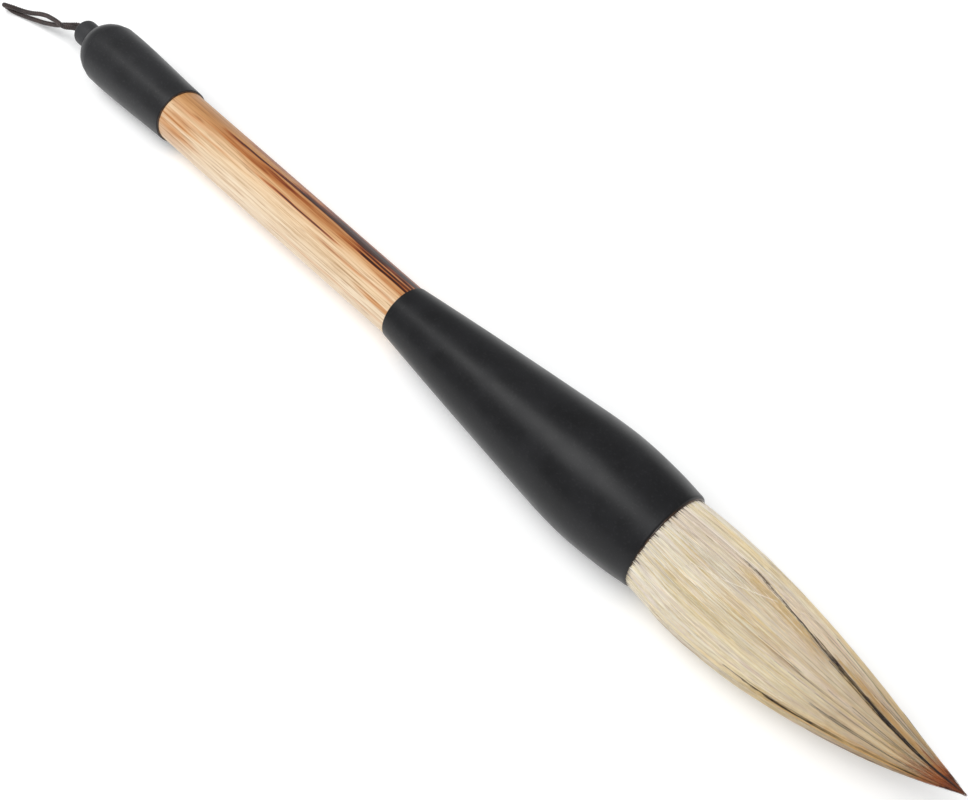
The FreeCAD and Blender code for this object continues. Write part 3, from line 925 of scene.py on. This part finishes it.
dark_lines, dark_radii = [], []
UPPER_STREAK, LOWER_STREAK = math.radians(66), math.radians(168)
for start, end, count, spread, thick in (
        (0.19, 0.31, 12, 0.01, 0.05), (0.24, 0.44, 8, 0.018, 0.04), (0.37, 0.50, 12, 0.010, 0.05),
        (0.47, 0.72, 22, 0.014, 0.06), (0.55, 0.99, 34, 0.028, 0.065), (0.66, 1.0, 30, 0.055, 0.06)):
    streak(dark_lines, dark_radii, count, UPPER_STREAK, start, end, spread, 0.62, thick * MM)
for start, end, count, spread, thick in (
        (0.36, 0.56, 9, 0.016, 0.045), (0.48, 0.74, 18, 0.014, 0.055), (0.72, 0.97, 18, 0.02, 0.06)):
    streak(dark_lines, dark_radii, count, LOWER_STREAK, start, end, spread, 0.0, thick * MM)
streak(dark_lines, dark_radii, 4, math.radians(118), 0.38, 0.56, 0.01, 0.0, 0.045 * MM)
streak(dark_lines, dark_radii, 4, math.radians(142), 0.55, 0.75, 0.012, 0.0, 0.04 * MM)
for lone in np.linspace(0, 2 * math.pi, 23, endpoint=False):
    streak(dark_lines, dark_radii, 2, lone, 0.6 + 0.15 * math.sin(5 * lone), 0.97, 0.05, None, 0.04 * MM)
guard_hairs = bevelled("guard_hairs", dark_lines, dark_radii, sides=0)

gold_lines, gold_radii = [], []
for angle, drift, start, end, count in (
        (76, 0.5, 0.22, 0.56, 46), (117, 0.0, 0.22, 0.5, 26), (132, 0.0, 0.0, 0.34, 26),
        (60, 0.62, 0.55, 0.95, 40), (171, 0.0, 0.44, 0.78, 36), (164, 0.1, 0.62, 0.97, 30),
        (100, 0.2, 0.0, 0.26, 20)):
    streak(gold_lines, gold_radii, count, math.radians(angle), start, end, 0.085, drift, 0.05 * MM)
golden_hairs = bevelled("golden_hairs", gold_lines, gold_radii, sides=0)

core_lines, core_radii = [], []
CORE_HAIRS, CORE_ROOT = 900, 30 * MM
for _ in range(CORE_HAIRS):
    turn_at = chance.uniform(0, 2 * math.pi)
    inner = chance.uniform(0.0, 1.05) ** 0.5
    t = np.linspace(0, 1, HAIR_POINTS)
    past = -CORE_ROOT + (chance.uniform(0.955, 1.012) * TUFT_LENGTH + CORE_ROOT) * t
    places = tuft_place(np.clip(past, -12 * MM, None), turn_at + 0 * t, inner * (0.3 + 0.75 * t ** 2))
    places[:, 0] = MOUTH + past
    core_lines.append(laid_places(places))
    core_radii.append(hair_radii(0.085 * MM))
core_hairs = bevelled("core_hairs", core_lines, core_radii, sides=0)
print("dark hairs: %d, golden: %d, core: %d" % (len(dark_lines), len(gold_lines), len(core_lines)))


# %% [markdown]
# A few hairs don't lie with the rest. Some stand off the surface as wisps, and one long pale hair crosses the
# others from the middle to the upper edge.

# %% stray hairs
stray_lines, stray_radii = [], []
for _ in range(150):
    angle = chance.uniform(0, 2 * math.pi)
    start = chance.uniform(0.05, 0.6) * TUFT_LENGTH
    end = start + chance.uniform(0.12, 0.32) * TUFT_LENGTH
    t = np.linspace(0, 1, HAIR_POINTS)
    line = hair_line(angle, start, min(end, 0.97 * TUFT_LENGTH), -0.15 * MM, chance.normal(0, 0.05))
    outwards = np.array([0, math.cos(angle), math.sin(angle)])
    lift = chance.uniform(0.1, 0.75) * MM * t ** 2
    stray_lines.append(laid_places(line + outwards * lift[:, None]))
    stray_radii.append(hair_radii(0.035 * MM))
for offset, rise_by in ((0.0, 0.34), (0.02, 0.3)):
    t = np.linspace(0, 1, 12)
    crossing = math.radians(109) - (math.radians(66) + offset) * (0.35 * t + 0.65 * t * t)
    past = (0.13 + 0.39 * t) * TUFT_LENGTH
    crossing_line = tuft_place(past, crossing, 1 + rise_by * MM / TUFT_RADIUS(past))
    stray_lines.append(laid_places(crossing_line))
    stray_radii.append(0.08 * MM * np.clip(1.02 - t ** 4, 0.1, 1))
stray_hairs = bevelled("stray_hairs", stray_lines, stray_radii, sides=0)
print("stray hairs:", len(stray_lines))


# %% [markdown]
# Goat hair is translucent and silky: pale at the root, warmer and duller towards the point, and brown at the very
# end. Where it leaves the cup it is painted dark, as painted shade for the socket's lip. The skin's streaks come
# from the stored unrolled place. The loose hairs' colours come from how far along the axis a place was at rest,
# with a noise from hair to hair and a faint tint from lock to lock.

# %% hair finishes
def along_tuft(tree, places):
    """0 at the mouth and 1 at the point."""
    split = node(tree, "SeparateXYZ", {"Vector": places}).outputs["X"]
    return node(tree, "MapRange", {"Value": split, "From Min": MOUTH, "From Max": TIP + 2 * MM},
                clamp=False).outputs["Result"]


# Painted shade: the dark brown of the hair where it leaves the cup stands in for the shadow of the socket's lip.
MOUTH_SHADE_COLOUR = (74, 56, 40)


def hair_finish(name, root, middle, near_point, variety, ends=((208, 124, 62), (176, 86, 38), (108, 58, 34))):
    """A silky hair colour that changes from root to point, with streaks from hair to hair."""
    material, tree, shader = finish_with(name, Roughness=0.5, Specular_IOR_Level=0.3, Sheen_Weight=0.2,
                                         Sheen_Roughness=0.35)
    places = rest_places(tree)
    strands = streaks(tree, places, (30, 2400, 2400), 2.0)
    far = node(tree, "Math", {0: strands, 1: 0.1, 2: along_tuft(tree, places)}, operation="MULTIPLY_ADD")
    # The first stop is painted shade: each hair darkens where it leaves the cup, for the lip's shadow.
    colour = ramp(tree, far.outputs[0], [(0.042, MOUTH_SHADE_COLOUR), (0.06, root), (0.55, middle), (0.93, near_point),
                                         (0.99, ends[0]), (1.03, ends[1]), (1.08, ends[2])])
    shade = ramp(tree, strands, [(0.3, (variety, variety, variety, 1)), (0.7, (1, 1, 1, 1))])
    colour = mixed(tree, 1.0, colour, shade, "MULTIPLY")
    locks = streaks(tree, places, (14, 190, 190), 2.0)
    tint = ramp(tree, locks, [(0.36, (254, 247, 230)), (0.5, (1, 1, 1, 1)), (0.64, (250, 244, 243))])
    tree.links.new(mixed(tree, 1.0, colour, tint, "MULTIPLY"), shader.inputs["Base Color"])
    return material


def skin_finish():
    """The tuft's skin: the same hair seen as a mass, in streaks that follow the unrolled place."""
    material, tree, shader = finish_with("goat_hair_mass", Roughness=0.55, Specular_IOR_Level=0.25,
                                         Sheen_Weight=0.2, Sheen_Roughness=0.4)
    lie = node(tree, "Attribute", attribute_name="hair_lie").outputs["Vector"]
    fine = streaks(tree, lie, (3.2, 3.2, 0.03), 4.0, Roughness=0.65)
    broad = streaks(tree, lie, (0.5, 0.5, 0.014), 2.0)
    pale = ramp(tree, fine, [(0.3, (196, 174, 138)), (0.45, (228, 213, 178)),
                             (0.6, (243, 231, 203)), (0.75, (250, 243, 226))])
    warm = ramp(tree, broad, [(0.35, (240, 220, 172)), (0.5, (250, 244, 230)), (0.65, (242, 230, 226))])
    colour = mixed(tree, 0.8, pale, warm, "MULTIPLY")
    far = along_tuft(tree, rest_places(tree))
    ends = node(tree, "Math", {0: fine, 1: 0.3, 2: far}, operation="MULTIPLY_ADD").outputs[0]
    tint = ramp(tree, ends, [(0.9, (1, 1, 1, 1)), (1.08, (230, 208, 180)), (1.13, (212, 140, 80)),
                             (1.2, (150, 84, 48))])
    colour = mixed(tree, 1.0, colour, tint, "MULTIPLY")
    # Painted shade: the skin darkens just past the mouth, for the shadow of the socket's lip.
    shaded_root = ramp(tree, far, [(0.0, MOUTH_SHADE_COLOUR), (0.014, (1, 1, 1, 1))])
    tree.links.new(mixed(tree, 1.0, colour, shaded_root, "MULTIPLY"), shader.inputs["Base Color"])
    bumped(tree, shader, fine, 0.5, 0.12 * MM)
    return material


DARK_ENDS = ((52, 34, 26), (46, 28, 20), (34, 22, 16))
TUFT_FINISHES = (
    (mantle_hair, skin_finish()),
    (ivory_hairs, hair_finish("ivory_hair", (250, 243, 225), (246, 235, 207), (228, 209, 174), 0.84)),
    (cream_hairs, hair_finish("cream_hair", (243, 231, 198), (237, 219, 178), (214, 187, 142), 0.8)),
    (blush_hairs, hair_finish("blush_hair", (244, 232, 222), (234, 217, 203), (210, 188, 170), 0.84)),
    (grey_hairs, hair_finish("grey_hair", (216, 204, 186), (196, 178, 150), (160, 136, 106), 0.78)),
    (golden_hairs, hair_finish("golden_hair", (238, 220, 172), (228, 200, 144), (206, 162, 100), 0.8)),
    (stray_hairs, hair_finish("stray_hair", (255, 248, 234), (252, 242, 224), (232, 214, 186), 0.95)),
    (guard_hairs, hair_finish("guard_hair", (128, 92, 56), (50, 31, 20), (32, 20, 14), 0.6, DARK_ENDS)),
    (core_hairs, hair_finish("core_hair", (214, 186, 140), (196, 158, 106), (200, 140, 82), 0.7)),
)
for piece, finish in TUFT_FINISHES:
    remember_places(piece)
    piece.data.materials.append(finish)

# %% [markdown]
# The hair stays in its rest place, with no bend at the design's hinge: each piece's place is baked into its mesh,
# and the design's own mantle and core hair nodes are hidden.

# %% bake the tuft in its rest place
for piece, _ in TUFT_FINISHES:
    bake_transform(piece)
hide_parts("mantle_hair_root", "mantle_hair_point")
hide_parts("core_hair_root", "core_hair_point")


# %% [markdown]
# ## Inner pieces
# The peg, resin, thread, knot and belly hair are closed in and keep their CAD shapes. They still get finishes,
# so that a cut-away of the brush looks right.

# %% inner finishes
def plain_grain(name, dark, light, scale, roughness):
    material, tree, shader = finish_with(name, Roughness=roughness)
    grain = streaks(tree, object_places(tree), scale, 3.0)
    tree.links.new(ramp(tree, grain, [(0.35, dark), (0.65, light)]), shader.inputs["Base Color"])
    bumped(tree, shader, grain, 0.3, 0.05 * MM)
    return material


INNER = {
    "joining_peg": plain_grain("peg_wood", (150, 110, 70), (190, 150, 104), (60, 900, 900), 0.7),
    "root_resin": plain_grain("amber_resin", (150, 96, 40), (186, 128, 60), (300, 300, 300), 0.25),
    "binding_thread": plain_grain("flax_thread", (170, 150, 116), (206, 188, 152), (2500, 900, 900), 0.9),
    "loop_knot": waxed_cord_finish("waxed_knot", object_places),
    "belly_hair_root": plain_grain("belly_hair", (196, 172, 132), (226, 206, 170), (40, 2400, 2400), 0.6),
}
INNER["belly_hair_point"] = INNER["belly_hair_root"]
for name, finish in INNER.items():
    materials = frame["nodes"][name].data.materials
    materials.clear()
    materials.append(finish)
